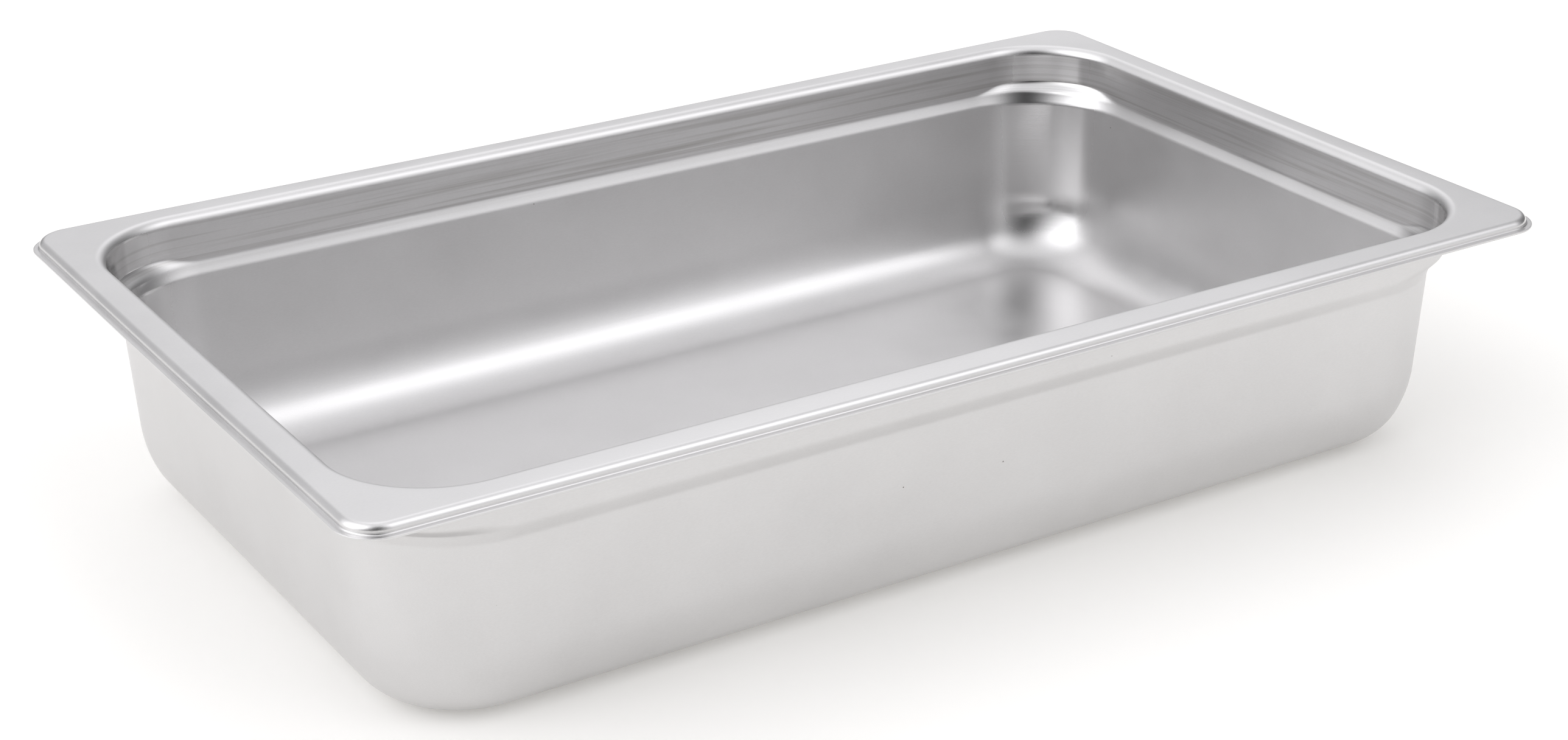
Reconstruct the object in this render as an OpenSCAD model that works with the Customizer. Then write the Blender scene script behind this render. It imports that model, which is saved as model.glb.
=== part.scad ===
// Deli food pan: a full-size deep-drawn pan of thin stainless sheet, open at the top.
// Millimetres. +Z is up, X runs along the length. The origin is at the centre of the floor, on its underside.
// The whole pan is one sheet: floor, lower wall, stacking shoulder, upper wall, flange and turned-down edge.

/* [Overall size] */
// Length over the rim edge
rim_length = 527; // [480:1:600]
// Width over the rim edge
rim_width = 324; // [280:1:400]
// Height from the underside of the floor to the top of the flange
pan_height = 102; // [90:1:150]
// Thickness of the sheet
sheet = 0.8; // [0.6:0.1:1]

/* [Rim edge] */
// Corner radius of the rim edge, seen from above
rim_corner_r = 16; // [13:0.5:20]
// Radius of the bend that turns the flange down
edge_bend_r = 2.6; // [2.2:0.1:2.8]
// Width of the thin lip that turns back out below the bend
lip_width = 2.4; // [2:0.1:3]
// Drop from the top of the flange to the underside of the lip
lip_drop = 4.4; // [4.4:0.1:6]
// Radius of the crease between the bend and the lip
lip_crease_r = 0.7; // [0.5:0.1:0.8]

/* [Opening] */
// Width of the flange from the rim edge to the inner face of the upper wall
flange_width = 17.25; // [15:0.25:20]
// Corner radius of the upper wall on its inner face
opening_corner_r = 40; // [34:1:44]
// Radius of the bend from the flange down into the wall
opening_bend_r = 4; // [3:0.1:5]

/* [Stacking shoulder] */
// Depth below the flange where the straight upper wall ends along the sides
knee_depth = 19.4; // [17:0.1:23]
// Depth below the flange where the lower wall begins
foot_depth = 26.4; // [25:0.1:30]
// How far the lower wall stands in from the upper wall along the sides
shoulder_step = 2; // [2:0.1:3]
// Slope of the wider ledge in the corners, from vertical
ledge_angle = 66; // [50:1:70]

/* [Lower wall and bottom] */
// Corner radius of the lower wall on its outer face, where it meets the shoulder
body_corner_r = 49; // [47:0.5:52]
// Draft of the lower wall from vertical
draft_angle = 3.5; // [3:0.5:5]
// Radius of the bend from the floor up
bottom_r = 24; // [18:1:25]
// Larger radius that eases the bend into the wall
bottom_ease_r = 50; // [40:1:60]
// Slope from vertical at which the two radii meet
bottom_meet_angle = 25; // [25:1:30]

/* [Hidden] */

curve_steps = 120;
// How far a cutting or filling shape reaches past the face it works on
overlap = 1;

// Upper wall
upper_half_x = rim_length / 2 - flange_width;
upper_half_y = rim_width / 2 - flange_width;
upper_top = pan_height - opening_bend_r;

// Lower body, outer face. Radii are measured from the corner's own axis.
foot_half_x = upper_half_x + sheet - shoulder_step;
foot_half_y = upper_half_y + sheet - shoulder_step;
body_axis_x = foot_half_x - body_corner_r;
body_axis_y = foot_half_y - body_corner_r;
foot = [body_corner_r, pan_height - foot_depth];
// The knee stands this far outside the upper wall, so that wall cuts the slope below it
knee_margin = 0.4;
knee_reach = shoulder_step + knee_margin;
knee = foot + [knee_reach, foot_depth - knee_depth];
slope_angle = atan(knee_reach / (foot_depth - knee_depth));
ledge_reach = 9;
ledge_end = knee + [ledge_reach, ledge_reach / tan(ledge_angle)];

// Bottom bend: two arcs that share a tangent, the lower one touching the floor
arc_gap = bottom_ease_r - bottom_r;
ease_rise = bottom_r + arc_gap * sin(bottom_meet_angle);
ease_top_z = ease_rise - bottom_ease_r * sin(draft_angle);
ease_top_r = foot.x - (foot.y - ease_top_z) * tan(draft_angle);
ease_centre = [ease_top_r - bottom_ease_r * cos(draft_angle), ease_rise];
bottom_centre = ease_centre + arc_gap * face(bottom_meet_angle);

// Unit vector that points out of the body from a face leaning this far from vertical
function face(angle) = [cos(angle), -sin(angle)];

// A corner of the outline moved inward by the same distance from both of its faces
function moved_in(p, below, above, by) =
    p - by * (face(below) + face(above)) / (1 + face(below) * face(above));

// The slice between an arc and its chord, with a little of the area behind the chord
module arc_slice(centre, radius, from, to) {
    middle = face((from + to) / 2);
    a = centre + radius * face(from);
    b = centre + radius * face(to);
    intersection() {
        translate(centre)
            circle(r = radius, $fn = 4 * curve_steps);
        polygon([a - overlap * middle, a + radius * middle, b + radius * middle, b - overlap * middle]);
    }
}

// Half outline of the body from a corner's axis outward, moved in by a distance
module body_outline(by, top) {
    ease_r = bottom_ease_r - by;
    low_r = bottom_r - by;
    foot_in = moved_in(foot, draft_angle, slope_angle, by);
    knee_in = moved_in(knee, slope_angle, ledge_angle, by);
    end_in = moved_in(ledge_end, ledge_angle, 0, by);
    polygon([
        [0, by],
        [bottom_centre.x, by],
        bottom_centre + low_r * face(bottom_meet_angle),
        ease_centre + ease_r * face(draft_angle),
        foot_in,
        knee_in,
        end_in,
        [end_in.x, top],
        [0, top]
    ]);
    arc_slice(bottom_centre, low_r, bottom_meet_angle, 90);
    arc_slice(ease_centre, ease_r, draft_angle, bottom_meet_angle);
}

// Full outline: the half outline on both sides of a middle strip
module mirrored_outline(axis, by, top) {
    for (side = [0, 1])
        mirror([side, 0])
            translate([axis, 0])
                body_outline(by, top);
    translate([-axis - overlap, by])
        square([2 * (axis + overlap), top - by]);
}

// Solid body with flat sides and round corners, moved in by a distance
module body_solid(by, top) {
    rotate([90, 0, 0])
        linear_extrude(height = 2 * body_axis_y, center = true)
            mirrored_outline(body_axis_x, by, top);
    rotate([90, 0, 90])
        linear_extrude(height = 2 * body_axis_x, center = true)
            mirrored_outline(body_axis_y, by, top);
    at_corners(body_axis_x, body_axis_y)
        rotate_extrude(angle = 90, $fn = curve_steps)
            body_outline(by, top);
}

// Places a first-quadrant corner piece at all four corners
module at_corners(axis_x, axis_y) {
    translate([axis_x, axis_y, 0])
        children();
    translate([-axis_x, axis_y, 0])
        rotate([0, 0, 90])
            children();
    translate([-axis_x, -axis_y, 0])
        rotate([0, 0, 180])
            children();
    translate([axis_x, -axis_y, 0])
        rotate([0, 0, 270])
            children();
}

// Rectangle with round corners
module round_rect(half_x, half_y, r) {
    square([2 * half_x, 2 * (half_y - r)], center = true);
    square([2 * (half_x - r), 2 * half_y], center = true);
    for (x = [-1, 1], y = [-1, 1])
        translate([x * (half_x - r), y * (half_y - r)])
            circle(r = r, $fn = curve_steps);
}

// Column the size of the opening, grown outward by a distance
module opening_column(grow, bottom, top) {
    translate([0, 0, bottom])
        linear_extrude(height = top - bottom)
            round_rect(upper_half_x + grow, upper_half_y + grow, opening_corner_r + grow);
}

// Sweeps a section round a rounded rectangle. The section's x is the distance from the corner axis.
module swept_ring(half_x, half_y, r) {
    axis_x = half_x - r;
    axis_y = half_y - r;
    for (turn = [0, 180]) {
        rotate([0, 0, turn])
            translate([axis_x, 0, 0])
                rotate([90, 0, 0])
                    linear_extrude(height = 2 * axis_y, center = true)
                        children();
        rotate([0, 0, turn + 90])
            translate([axis_y, 0, 0])
                rotate([90, 0, 0])
                    linear_extrude(height = 2 * axis_x, center = true)
                        children();
    }
    at_corners(axis_x, axis_y)
        rotate_extrude(angle = 90, $fn = curve_steps)
            children();
}

// Quarter of a sheet-thick ring; the two signs say which quarter
module quarter_bend(centre, outer_r, side_x, side_z) {
    intersection() {
        translate(centre)
            difference() {
                circle(r = outer_r, $fn = curve_steps);
                circle(r = outer_r - sheet, $fn = curve_steps);
            }
        translate([centre.x + min(0, side_x) * outer_r, centre.y + min(0, side_z) * outer_r])
            square(outer_r);
    }
}

// Floor, lower wall, shoulder and upper wall
module walls_and_floor() {
    difference() {
        intersection() {
            body_solid(0, upper_top);
            opening_column(sheet, 0, upper_top);
        }
        intersection() {
            body_solid(sheet, upper_top + overlap);
            opening_column(0, sheet, upper_top + overlap);
        }
    }
}

// Bend from the flange down into the upper wall
module opening_bend() {
    swept_ring(upper_half_x, upper_half_y, opening_corner_r)
        quarter_bend([opening_corner_r + opening_bend_r, upper_top], opening_bend_r, -1, 1);
}

// Flat flange, wide at the corners
module flange() {
    inset = lip_width + edge_bend_r;
    translate([0, 0, pan_height - sheet])
        linear_extrude(height = sheet)
            difference() {
                round_rect(rim_length / 2 - inset, rim_width / 2 - inset, rim_corner_r - inset);
                round_rect(upper_half_x + opening_bend_r, upper_half_y + opening_bend_r,
                    opening_corner_r + opening_bend_r);
            }
}

// Turned-down bend, short wall, crease and thin outward lip
module rim_edge() {
    wall_r = rim_corner_r - lip_width;
    bend_z = pan_height - edge_bend_r;
    crease_z = pan_height - lip_drop + sheet + lip_crease_r;
    swept_ring(rim_length / 2, rim_width / 2, rim_corner_r) {
        union() {
            quarter_bend([wall_r - edge_bend_r, bend_z], edge_bend_r, 1, 1);
            translate([wall_r - sheet, crease_z])
                square([sheet, bend_z - crease_z]);
            quarter_bend([wall_r + lip_crease_r, crease_z], lip_crease_r + sheet, -1, -1);
            translate([wall_r + lip_crease_r, pan_height - lip_drop])
                square([lip_width - lip_crease_r, sheet]);
        }
    }
}

module pan() {
    color("silver") {
        walls_and_floor();
        opening_bend();
        flange();
        rim_edge();
    }
}

pan();
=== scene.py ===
"""Looks of the deli food pan: one deep-drawn stainless sheet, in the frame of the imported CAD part. Metres."""
import math

import bpy
import numpy as np
from mathutils import Matrix, Vector


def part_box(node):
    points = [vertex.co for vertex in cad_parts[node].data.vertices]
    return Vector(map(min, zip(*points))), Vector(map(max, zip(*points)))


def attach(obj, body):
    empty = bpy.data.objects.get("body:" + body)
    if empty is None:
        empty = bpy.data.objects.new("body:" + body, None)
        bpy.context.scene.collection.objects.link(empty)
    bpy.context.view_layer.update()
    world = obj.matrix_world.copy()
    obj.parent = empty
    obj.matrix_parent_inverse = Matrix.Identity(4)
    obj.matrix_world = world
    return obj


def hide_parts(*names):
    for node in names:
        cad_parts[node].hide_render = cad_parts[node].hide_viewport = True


MM = 0.001
TINY = 1e-9

# ---------------------------------------------------------------- the sheet's dimensions, in millimetres
SHEET = 0.8                  # thickness
CUT_EDGE_R = 0.15            # rounding of the sheet's cut edge

RIM_CORNER_R = 16.0          # corner radius of the rim edge, seen from above
LIP_WIDTH = 2.4              # thin lip outside the turned-down bend
LIP_DROP = 4.4               # flange top to the underside of the lip
LIP_CREASE_R = 0.7
EDGE_BEND_R = 2.6

FLANGE_WIDTH = 17.25         # rim edge to the inner face of the upper wall
OPENING_CORNER_R = 40.0
OPENING_BEND_R = 4.0

LEDGE_TOP = 16.6             # depth below the flange where the corners' ledge starts
LEDGE_FOOT = 21.6
SHOULDER_STEP = 2.0          # how far the lower wall stands in from the upper one
SHOULDER_TOP = 20.4
SHOULDER_FOOT = 26.0         # also the depth at which the lower wall's corner radius is given
SHOULDER_EASE = 0.9          # half the height over which the slope's two ends are rounded
SHOULDER_END = 28.4          # depth below which the wall is straight everywhere

BODY_CORNER_R = 49.0
DRAFT = math.radians(3.5)
BOTTOM_R = 24.0              # bend from the floor up
BOTTOM_EASE_R = 50.0         # larger radius that eases it into the wall
BOTTOM_MEET = math.radians(25.0)     # angle from upright at which the two radii meet

LONG_SAG = 0.8               # how far the free edge of the flange sags at mid-side
SHORT_SAG = 0.45
SAG_CURVE = 1.5              # power with which the sag dies away across the flange

# ---------------------------------------------------------------- finish
# Heights and depths are in millimetres. A share of 1 is fully burnished.
CORNER_FADE = 34.0           # degrees from a corner's ends over which its burnished finish starts
CORNER_LOW = 2.0             # height above the floor's underside where the corners' burnish starts
CORNER_HIGH = 1.0            # depth below the flange where it ends
EDGE_STRAIGHT = 0.25         # share on the turned-down edge along the sides; its corners are fully burnished
RUB_BURNISH = 0.4            # share on the upper wall, where pans rub when they are nested
RUB_DEPTHS = (2.4, 6.0)      # depths between which the rubbing starts and is full
BEND_BURNISH = 0.10          # share on the inside of the bottom bend
BEND_RISE = (6.0, 12.0, 28.8)        # heights where that is full, where it starts to fade, and where it ends

# ---------------------------------------------------------------- density of the mesh
CORNER_STEPS = 36
LONG_STEPS = 30
SHORT_STEPS = 18
CUT_STEPS = 3
CREASE_STEPS = 6
EDGE_STEPS = 12
OPENING_STEPS = 12
EASE_STEPS = 10
BOTTOM_STEPS = 19
LIP_INSETS = (CUT_EDGE_R, 0.6, 1.2, LIP_WIDTH - LIP_CREASE_R - 0.15)
FLANGE_SHARES = (0.03, 0.15, 0.35, 0.6, 0.85, 0.97)
UPPER_DEPTHS = (OPENING_BEND_R + 0.3, 8.0, 12.0, 15.5)       # rings on the upright part of the upper wall
SHOULDER_DEPTHS = np.arange(LEDGE_TOP - 0.6, SHOULDER_END, 0.4)
WALL_RINGS = 9
WALL_GAP = 0.5               # height between the lowest of them and the bend
FLOOR_SHARES = (0.995, 0.96, 0.9, 0.8, 0.68, 0.56, 0.44, 0.32, 0.2, 0.1, 0.04)
EDGE_RING = len(LIP_INSETS) + CREASE_STEPS           # last ring of the crease, where the edge's bend starts
FLANGE_RING = EDGE_RING + EDGE_STEPS + 2             # first ring on the flat of the flange


def smooth(low, high, value):
    """0 below low, 1 above high, with a soft start and end."""
    t = np.clip((np.asarray(value, float) - low) / (high - low), 0.0, 1.0)
    return t * t * (3.0 - 2.0 * t)


def ramp(low, high, ease, value):
    """0 below low, 1 above high and a straight slope between them, with both ends rounded."""
    def bent(x):
        t = np.clip((x + ease) / (2 * ease), 0.0, 1.0)
        return np.where(x > ease, x, ease * t * t)
    return (bent(value - low) - bent(value - high)) / (high - low)


def quarter(steps):
    """Angles from 0 to a right angle, both included."""
    return np.linspace(0.0, math.pi / 2, steps + 1)


class Stations:
    """Points round a rounded rectangle.

    Each has its share of the straight half sides (x, y) and the direction that the wall faces there (cos, sin).
    """

    def __init__(self):
        share_x, share_y, angle = [], [], []
        for k, (sx, sy) in enumerate([(1, 1), (-1, 1), (-1, -1), (1, -1)]):
            for i in range(CORNER_STEPS + 1):
                share_x.append(sx)
                share_y.append(sy)
                angle.append(90.0 * (k + i / CORNER_STEPS))
            steps = LONG_STEPS if k % 2 == 0 else SHORT_STEPS
            for i in range(1, steps):
                along = 1.0 - 2.0 * i / steps
                share_x.append(sx * along if k % 2 == 0 else sx)
                share_y.append(sy if k % 2 == 0 else sy * along)
                angle.append(90.0 * (k + 1))
        self.x = np.array(share_x, float)
        self.y = np.array(share_y, float)
        turn = np.radians(angle)
        self.cos, self.sin = np.cos(turn), np.sin(turn)
        self.corner = smooth(0.0, CORNER_FADE, [min(a % 90.0, 90.0 - a % 90.0) for a in angle])
        on_long = (np.abs(self.y) == 1) & (np.abs(self.x) < 1)
        on_short = (np.abs(self.x) == 1) & (np.abs(self.y) < 1)
        self.sag = LONG_SAG * np.cos(math.pi / 2 * self.x) ** 2 * on_long \
            + SHORT_SAG * np.cos(math.pi / 2 * self.y) ** 2 * on_short

    def ring(self, half_x, half_y, radius, z):
        """The rounded rectangle with these half sizes and corner radius, at one height."""
        ring = np.empty((len(self.x), 3))
        ring[:, 0] = self.x * (half_x - radius) + radius * self.cos
        ring[:, 1] = self.y * (half_y - radius) + radius * self.sin
        ring[:, 2] = z
        return ring


def sheet_rings(st, length, width, height):
    """Rings over the sheet's upper side, from the lip across the flange, down the wall and over the floor."""
    rings = []
    crease_z = height - LIP_DROP + SHEET
    bend_z = height - EDGE_BEND_R
    edge_run = LIP_WIDTH + EDGE_BEND_R
    opening_x, opening_y = length / 2 - FLANGE_WIDTH, width / 2 - FLANGE_WIDTH

    def rim(inset, z):
        ring = st.ring(length / 2 - inset, width / 2 - inset, RIM_CORNER_R - inset, z)
        ring[:, 2] -= st.sag
        rings.append(ring)

    def opening(grow, z):
        return st.ring(opening_x + grow, opening_y + grow, OPENING_CORNER_R + grow, z)

    for inset in LIP_INSETS:
        rim(inset, crease_z)
    for a in quarter(CREASE_STEPS):
        rim(LIP_WIDTH - LIP_CREASE_R * (1 - math.sin(a)), crease_z + LIP_CREASE_R * (1 - math.cos(a)))
    for a in quarter(EDGE_STEPS):
        rim(edge_run - EDGE_BEND_R * math.cos(a), bend_z + EDGE_BEND_R * math.sin(a))
    outer, inner = rings[-1], opening(OPENING_BEND_R, height)
    for t in FLANGE_SHARES:
        ring = outer * (1 - t) + inner * t
        ring[:, 2] = height - st.sag * (1 - t) ** SAG_CURVE
        rings.append(ring)
    for a in quarter(OPENING_STEPS):
        rings.append(opening(OPENING_BEND_R * (1 - math.sin(a)), height - OPENING_BEND_R * (1 - math.cos(a))))

    # Lower wall as distance from each corner's own axis and height, on the upper side of the sheet
    axis_x = opening_x + SHEET - SHOULDER_STEP - BODY_CORNER_R
    axis_y = opening_y + SHEET - SHOULDER_STEP - BODY_CORNER_R
    gap = BOTTOM_EASE_R - BOTTOM_R
    ease_z = BOTTOM_R + gap * math.sin(BOTTOM_MEET)
    ease_top = ease_z - BOTTOM_EASE_R * math.sin(DRAFT)
    foot_z = height - SHOULDER_FOOT

    def wall_r(z):
        return BODY_CORNER_R - SHEET / math.cos(DRAFT) - (foot_z - z) * math.tan(DRAFT)

    def lower(r, z):
        return st.ring(axis_x + r, axis_y + r, r, z)

    def bend(centre_r, centre_z, radius, a):
        inside = radius - SHEET
        return lower(centre_r + inside * math.cos(a), centre_z - inside * math.sin(a))

    # The upper wall has the tighter corners, so a ledge crosses each of them down to the lower wall's curve
    upper = opening(0.0, 0.0)
    middle = st.ring(opening_x, opening_y, BODY_CORNER_R - SHEET + SHOULDER_STEP, 0.0)
    for depth in [*UPPER_DEPTHS, *SHOULDER_DEPTHS]:
        ledge = smooth(LEDGE_TOP, LEDGE_FOOT, depth)
        slope = ramp(SHOULDER_TOP, SHOULDER_FOOT, SHOULDER_EASE, depth)
        above = upper * (1 - ledge) + middle * ledge
        ring = above * (1 - slope) + lower(wall_r(height - depth), 0.0) * slope
        ring[:, 2] = height - depth
        rings.append(ring)
    for z in np.linspace(height - SHOULDER_END, ease_top + WALL_GAP, WALL_RINGS):
        rings.append(lower(wall_r(z), z))
    ease_r = wall_r(ease_top) + SHEET / math.cos(DRAFT) - BOTTOM_EASE_R * math.cos(DRAFT)
    for a in np.linspace(DRAFT, BOTTOM_MEET, EASE_STEPS + 1):
        rings.append(bend(ease_r, ease_z, BOTTOM_EASE_R, a))
    for a in np.linspace(BOTTOM_MEET, math.pi / 2, BOTTOM_STEPS + 1)[1:]:
        rings.append(bend(ease_r + gap * math.cos(BOTTOM_MEET), BOTTOM_R, BOTTOM_R, a))
    floor = rings[-1]
    for inward in FLOOR_SHARES:
        ring = floor * inward
        ring[:, 2] = SHEET
        rings.append(ring)
    return np.array(rings)


def slope_along(grid, axis):
    """Tangent of the grid of points along one axis, weighted towards the nearer neighbour."""
    before, after = np.roll(grid, 1, axis), np.roll(grid, -1, axis)
    if axis == 0:
        before[0], after[-1] = grid[0], grid[-1]
    near, far = grid - before, after - grid
    near_len = np.linalg.norm(near, axis=2, keepdims=True)
    far_len = np.linalg.norm(far, axis=2, keepdims=True)
    near_dir = np.divide(near, near_len, out=np.zeros_like(near), where=near_len > TINY)
    far_dir = np.divide(far, far_len, out=np.zeros_like(far), where=far_len > TINY)
    return near_dir * (far_len + TINY) + far_dir * (near_len + TINY)


def sheet_normals(grid):
    """Unit normals of the upper side."""
    normals = np.cross(slope_along(grid, 1), slope_along(grid, 0))
    normals /= np.linalg.norm(normals, axis=2, keepdims=True)
    return normals


def cut_edge(st, length, width, lip_z):
    """Rings round the sheet's cut edge, from the under side up, with both of its corners rounded."""
    straight = SHEET / 2 - CUT_EDGE_R
    lower, upper = [], []
    for a in quarter(CUT_STEPS)[:-1]:
        inset = CUT_EDGE_R * (1 - math.cos(a))
        ring = st.ring(length / 2 - inset, width / 2 - inset, RIM_CORNER_R - inset, 0.0)
        ring[:, 2] = lip_z + straight + CUT_EDGE_R * math.sin(a)
        mirror = ring.copy()
        mirror[:, 2] = 2 * lip_z - ring[:, 2]
        upper.append(ring)
        lower.insert(0, mirror)
    return lower + upper


def flow_coordinate(top, edge_rings):
    """Place round the pan and distance along the draw, the same on both sides of the sheet.

    The place is on a circle as long as the flange, so that it has no seam.
    """
    flange = top[FLANGE_RING]
    steps = np.linalg.norm(np.roll(flange, -1, 0) - flange, axis=1)
    around = np.concatenate([[0.0], np.cumsum(steps)])
    turn = 2 * math.pi * around[:-1] / around[-1]
    radius = around[-1] / (2 * math.pi)
    run = np.concatenate([[0.0], np.cumsum(np.linalg.norm(np.diff(top, axis=0), axis=2).mean(axis=1))])
    drawn = np.concatenate([run[::-1], np.zeros(edge_rings), run])
    flow = np.empty((len(drawn), top.shape[1], 3))
    flow[:, :, 0] = radius * np.cos(turn)
    flow[:, :, 1] = radius * np.sin(turn)
    flow[:, :, 2] = drawn[:, None]
    return flow


def wear(st, rows, first, height):
    """How burnished and how rubbed each point is, from 0 to 1. The upper side starts at row number first."""
    rise = rows[:, :, 2]
    depth = height - rise
    depth[:first] = 0.0

    # The inner corners are stretched over the tool and come out burnished, and so does the turned-down edge
    burnish = st.corner * smooth(CORNER_LOW, BOTTOM_R, rise) * smooth(CORNER_HIGH, OPENING_BEND_R, depth)
    across = np.sin(np.linspace(0.0, math.pi, FLANGE_RING - EDGE_RING))[:, None]
    burnish[first + EDGE_RING:first + FLANGE_RING] = across * (EDGE_STRAIGHT + (1 - EDGE_STRAIGHT) * st.corner)

    # The inside of the upper wall is rubbed along its length where pans are nested in each other
    rubbed = smooth(*RUB_DEPTHS, depth) * (1 - smooth(LEDGE_TOP, SHOULDER_FOOT, depth))

    full, fade, end = BEND_RISE
    bottom = smooth(SHEET, full, rise) * (1 - smooth(fade, end, rise))
    bottom[:first] = 0.0
    return np.maximum(burnish, np.maximum(RUB_BURNISH * rubbed, BEND_BURNISH * bottom)), rubbed


def point_values(mesh, name, kind, values):
    """Stores a value for each vertex as an attribute that the material reads."""
    key = "vector" if kind == "FLOAT_VECTOR" else "value"
    mesh.attributes.new(name, kind, "POINT").data.foreach_set(key, values.astype(np.float32).ravel())


def pan_mesh(length, width, height):
    """The closed sheet as a Blender mesh, with its flow, burnish and rubbed attributes."""
    st = Stations()
    top = sheet_rings(st, length, width, height)
    under = top - SHEET * sheet_normals(top)
    under[:, :, 2] = np.maximum(under[:, :, 2], 0.0)
    edge = cut_edge(st, length, width, top[0, :, 2] - SHEET / 2)
    rows = np.concatenate([under[::-1], np.array(edge), top])

    count = rows.shape[1]
    faces = []
    for r in range(len(rows) - 1):
        for c in range(count):
            d = (c + 1) % count
            faces.append((r * count + c, r * count + d, (r + 1) * count + d, (r + 1) * count + c))
    last = (len(rows) - 1) * count
    faces.append(tuple(range(count))[::-1])
    faces.append(tuple(range(last, last + count)))

    mesh = bpy.data.meshes.new("pan_sheet")
    mesh.from_pydata((rows.reshape(-1, 3) * MM).tolist(), [], faces)
    mesh.validate()
    mesh.shade_smooth()

    burnish, rubbed = wear(st, rows, len(rows) - len(top), height)
    point_values(mesh, "flow", "FLOAT_VECTOR", flow_coordinate(top, len(edge)) * MM)
    point_values(mesh, "burnish", "FLOAT", burnish)
    point_values(mesh, "rubbed", "FLOAT", rubbed)
    return mesh


# ---------------------------------------------------------------- material
# A noise has this many waves to a metre. On the flow coordinate the third number runs along the draw.
GRAIN_SCALE = (700, 2600, 2600)      # mill grain, which runs along the pan
CLOUD_SCALE = 26.0
DRAW_SCALE = (9, 9, 600)
RUB_SCALE = (7, 7, 560)
RUB_RANGE = (0.46, 0.76)     # values of the noise between which a rub mark starts and is full
CLOUD_RANGE = (0.3, 0.7)     # values that most of the clouding lies between
SPECK_SCALE = 45.0
SPECK_RADIUS = (0.011, 0.017)        # share of the specks' spacing over which one ends

SATIN_ROUGH = (0.34, 0.39)   # roughness of the satin sheet over its clouding
GRAIN_ROUGH = 0.06           # the most that the grain adds to it
GLOSS_ROUGH = 0.12           # roughness of the burnished sheet
CLOUD_ROUGH = 0.08           # the most that the clouding adds to it
GRAIN_SHARE = 0.45           # share of the grain, against the clouding, in the sheet's colour
STEEL_DARK = (0.58, 0.575, 0.575, 1)
STEEL_LIGHT = (0.74, 0.735, 0.735, 1)
WORN = (0.46, 0.45, 0.44, 1)
SPECK = (0.22, 0.21, 0.20, 1)


def node(tree, kind, inputs=None, **settings):
    """Adds a shader node with these settings, and values or links for its inputs."""
    n = tree.nodes.new(kind)
    for key, value in settings.items():
        setattr(n, key, value)
    for key, value in (inputs or {}).items():
        if isinstance(value, bpy.types.NodeSocket):
            tree.links.new(value, n.inputs[key])
        else:
            n.inputs[key].default_value = value
    return n


def empty_tree(owner):
    """The node tree of a new material or world, with nothing in it."""
    owner.use_nodes = True
    owner.node_tree.nodes.clear()
    return owner.node_tree


def to_output(tree, kind, shader):
    """Ends the tree with this shader."""
    tree.links.new(shader.outputs[0], node(tree, kind).inputs[0])


def noise(tree, space, scale, detail, roughness=0.5):
    """Noise over a space, with one scale for all directions or one for each."""
    if isinstance(scale, tuple):
        space = node(tree, "ShaderNodeMapping", {"Vector": space, "Scale": scale}).outputs[0]
        scale = 1.0
    return node(tree, "ShaderNodeTexNoise", {"Vector": space, "Scale": scale, "Detail": detail,
                                             "Roughness": roughness}).outputs["Fac"]


def spread(tree, value, source, target):
    """Maps one range of values to another and stops at its ends."""
    return node(tree, "ShaderNodeMapRange", {"Value": value, "From Min": source[0], "From Max": source[1],
                                             "To Min": target[0], "To Max": target[1]}).outputs["Result"]


def maths(tree, operation, *values):
    """One step of arithmetic."""
    return node(tree, "ShaderNodeMath", dict(enumerate(values)), operation=operation).outputs[0]


def mix(tree, factor, first, second):
    """Mix of two numbers."""
    return node(tree, "ShaderNodeMix", {"Factor": factor, 2: first, 3: second}, data_type="FLOAT").outputs[0]


def mix_colour(tree, factor, first, second):
    """Mix of two colours."""
    return node(tree, "ShaderNodeMix", {"Factor": factor, 6: first, 7: second}, data_type="RGBA").outputs[2]


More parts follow.
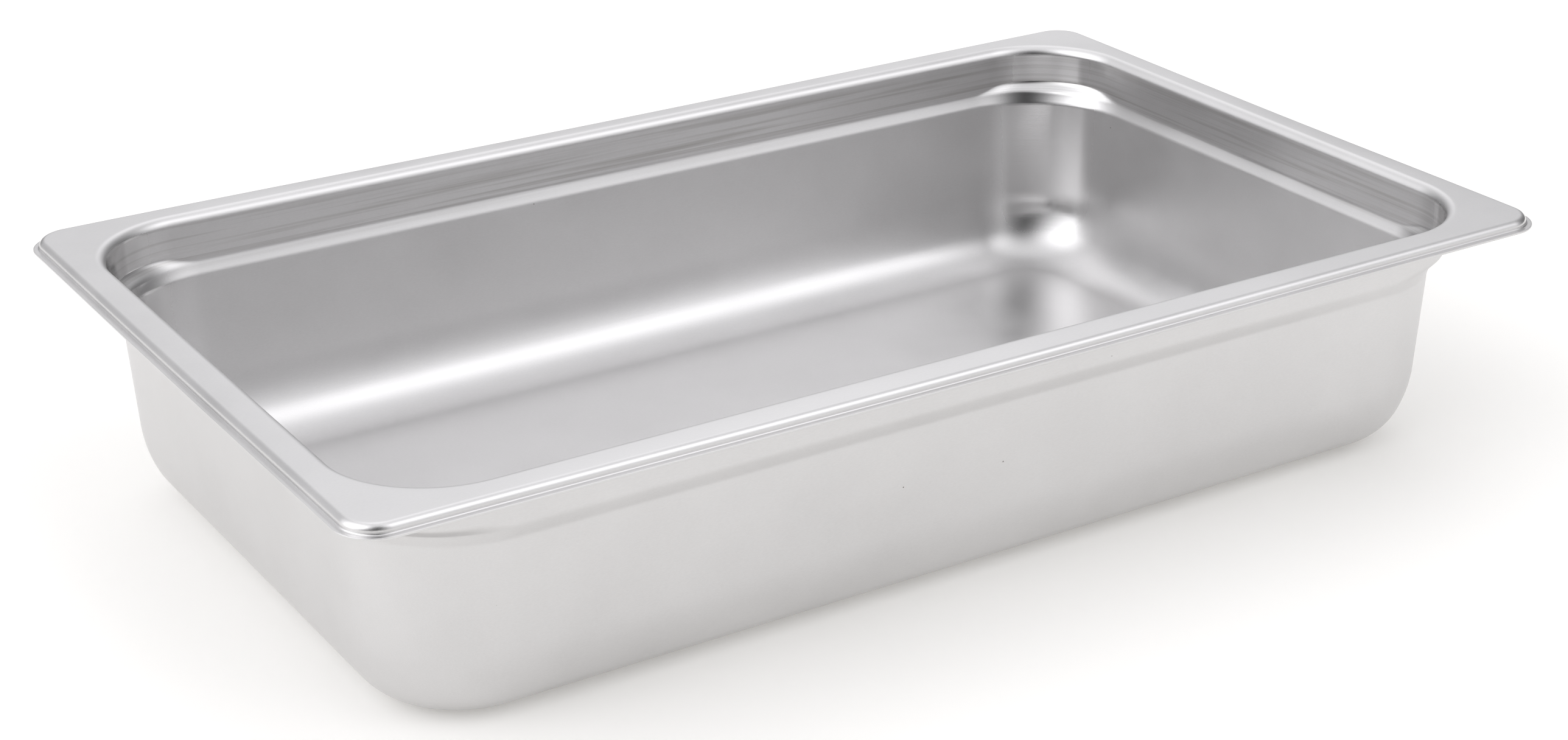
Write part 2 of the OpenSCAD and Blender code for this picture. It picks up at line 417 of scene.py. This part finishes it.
def stainless():
    """Satin stainless sheet: mill grain, faint clouding, soft draw lines and a few tiny specks.

    It is glossier where the sheet is burnished, and has faint streaks where it is rubbed.
    """
    mat = bpy.data.materials.new("stainless_satin")
    tree = empty_tree(mat)
    place = node(tree, "ShaderNodeTexCoord").outputs["Object"]
    flow = node(tree, "ShaderNodeAttribute", attribute_name="flow").outputs["Vector"]
    burnish = node(tree, "ShaderNodeAttribute", attribute_name="burnish").outputs["Fac"]
    rubbed = node(tree, "ShaderNodeAttribute", attribute_name="rubbed").outputs["Fac"]

    grain = noise(tree, place, GRAIN_SCALE, 3.0, 0.6)
    cloud = noise(tree, place, CLOUD_SCALE, 3.0, 0.55)
    draw = noise(tree, flow, DRAW_SCALE, 2.0, 0.6)
    rub = noise(tree, flow, RUB_SCALE, 2.0)
    cells = node(tree, "ShaderNodeTexVoronoi", {"Vector": place, "Scale": SPECK_SCALE}).outputs["Distance"]

    satin = maths(tree, "MULTIPLY_ADD", grain, GRAIN_ROUGH, spread(tree, cloud, CLOUD_RANGE, SATIN_ROUGH))
    gloss = maths(tree, "MULTIPLY_ADD", cloud, CLOUD_ROUGH, GLOSS_ROUGH)
    steel = mix_colour(tree, mix(tree, GRAIN_SHARE, cloud, grain), STEEL_DARK, STEEL_LIGHT)
    streaks = maths(tree, "MULTIPLY", spread(tree, rub, RUB_RANGE, (0.0, 1.0)), rubbed)
    streaked = mix_colour(tree, streaks, steel, WORN)
    colour = mix_colour(tree, spread(tree, cells, SPECK_RADIUS, (1.0, 0.0)), streaked, SPECK)

    fine = node(tree, "ShaderNodeBump", {"Height": grain, "Strength": 0.05, "Distance": 0.0002})
    lines = node(tree, "ShaderNodeBump", {"Height": draw, "Strength": 0.012, "Distance": 0.001,
                                          "Normal": fine.outputs[0]})
    shader = node(tree, "ShaderNodeBsdfPrincipled", {"Base Color": colour, "Metallic": 1.0,
                                                     "Roughness": mix(tree, burnish, satin, gloss),
                                                     "Normal": lines.outputs[0]})
    to_output(tree, "ShaderNodeOutputMaterial", shader)
    return mat


# ---------------------------------------------------------------- build

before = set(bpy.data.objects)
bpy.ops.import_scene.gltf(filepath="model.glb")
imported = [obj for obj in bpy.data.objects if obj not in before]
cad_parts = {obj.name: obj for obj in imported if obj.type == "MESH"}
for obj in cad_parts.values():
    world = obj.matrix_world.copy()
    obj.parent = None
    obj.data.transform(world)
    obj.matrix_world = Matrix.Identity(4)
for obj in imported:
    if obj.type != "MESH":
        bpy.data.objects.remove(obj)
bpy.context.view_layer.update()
low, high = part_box("pan")
pan_size = [(high[i] - low[i]) / MM for i in range(3)]
pan = bpy.data.objects.new("pan_sheet", pan_mesh(*pan_size))
pan.location = ((low.x + high.x) / 2, (low.y + high.y) / 2, low.z)
bpy.context.scene.collection.objects.link(pan)
pan.data.materials.append(stainless())
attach(pan, "root")
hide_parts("pan")


# ---------------------------------------------------------------- stage

TABLE_HALF = 6.0             # metres; the floor runs far past the view
TABLE_GAP = 0.0002           # below the pan, so that the two don't share a plane
TABLE_DARK = (0.79, 0.785, 0.77, 1)
TABLE_LIGHT = (0.81, 0.805, 0.79, 1)
TABLE_GLOW = 0.23            # the floor is a pale light table, as product studios use
GLOW_COLOUR = (1, 0.98, 0.95, 1)


def floor_sheet():
    """Pale floor, faintly lit from below."""
    half = TABLE_HALF
    mesh = bpy.data.meshes.new("floor")
    corners = [(-half, -half, 0), (half, -half, 0), (half, half, 0), (-half, half, 0)]
    mesh.from_pydata(corners, [], [(0, 1, 2, 3)])
    obj = bpy.data.objects.new("floor", mesh)
    obj.location.z = low.z - TABLE_GAP
    bpy.context.scene.collection.objects.link(obj)
    mat = bpy.data.materials.new("pale_floor")
    tree = empty_tree(mat)
    cloud = noise(tree, node(tree, "ShaderNodeTexCoord").outputs["Object"], 3.0, 2.0)
    tone = mix_colour(tree, cloud, TABLE_DARK, TABLE_LIGHT)
    shader = node(tree, "ShaderNodeBsdfPrincipled", {"Base Color": tone, "Roughness": 0.9,
                                                     "Specular IOR Level": 0.1, "Emission Color": GLOW_COLOUR,
                                                     "Emission Strength": TABLE_GLOW})
    to_output(tree, "ShaderNodeOutputMaterial", shader)
    mesh.materials.append(mat)


# Soft lights of the room: direction round from +Y towards +X and elevation in degrees, tightness, strength
ROOM_LIGHTS = (
    (-72, 8, 8.0, 1.60),       # long panel on the left
    (-44, 46, 9.0, 0.75),      # left and behind the pan
    (-100, 42, 9.0, 2.00),     # high on the left of the camera
    (30, 22, 12.0, 0.66),      # low behind the pan
    (33, 52, 12.0, 1.00),      # high behind the pan
    (0, 86, 6.0, 0.38),        # overhead
    (146, 45, 20.0, 1.75),     # high panel to the right of the camera
    (150, 18, 9.0, 0.94),      # low panel to the right of the camera
    (132, 67, 10.0, 0.52),     # above the high panel
    (-144, 42, 9.0, -0.28),    # the dark above the camera
    (-152, 16, 6.0, -0.12),    # the dark round the camera
)
ROOM_FILL = 0.23
ROOM_COLOUR = (0.985, 0.982, 1, 1)


def world_light():
    """Plain room: an even fill with wide soft lights in it, and a dim patch round the camera."""
    world = bpy.data.worlds.new("room")
    bpy.context.scene.world = world
    tree = empty_tree(world)
    place = node(tree, "ShaderNodeTexCoord").outputs["Generated"]
    away = node(tree, "ShaderNodeVectorMath", {0: place}, operation="NORMALIZE").outputs[0]
    total = ROOM_FILL
    for azimuth, elevation, tightness, strength in ROOM_LIGHTS:
        turn, up = math.radians(azimuth), math.radians(elevation)
        aim = (math.sin(turn) * math.cos(up), math.cos(turn) * math.cos(up), math.sin(up))
        facing = node(tree, "ShaderNodeVectorMath", {0: away, 1: aim}, operation="DOT_PRODUCT").outputs["Value"]
        glow = maths(tree, "EXPONENT", maths(tree, "MULTIPLY_ADD", facing, tightness, -tightness))
        total = maths(tree, "MULTIPLY_ADD", glow, strength, total)
    room = node(tree, "ShaderNodeBackground", {"Color": ROOM_COLOUR, "Strength": total})
    to_output(tree, "ShaderNodeOutputWorld", room)


CAMERA_PLACE = Vector((-0.5728, -0.9238, 0.5121))
CAMERA_AIM = Vector((-0.0159, -0.0230, 0.050))
CAMERA_ROLL = math.radians(0.589)
CAMERA_LENS = 65.81          # millimetres, on a sensor 36 mm wide
CAMERA_REACH = 50.0          # metres


def camera():
    """Camera at the photograph's angle."""
    forward = (CAMERA_AIM - CAMERA_PLACE).normalized()
    right = forward.cross(Vector((0, 0, 1))).normalized()
    up = right.cross(forward)
    top = up * math.cos(CAMERA_ROLL) + right * math.sin(CAMERA_ROLL)
    side = right * math.cos(CAMERA_ROLL) - up * math.sin(CAMERA_ROLL)
    data = bpy.data.cameras.new("camera")
    data.lens = CAMERA_LENS
    data.sensor_width = 36.0
    data.clip_end = CAMERA_REACH
    obj = bpy.data.objects.new("camera", data)
    turned = Matrix((side, top, -forward)).transposed().to_4x4()
    obj.matrix_world = Matrix.Translation(CAMERA_PLACE) @ turned
    bpy.context.scene.collection.objects.link(obj)
    bpy.context.scene.camera = obj


floor_sheet()
world_light()
camera()
bpy.context.scene.view_settings.view_transform = "Standard"
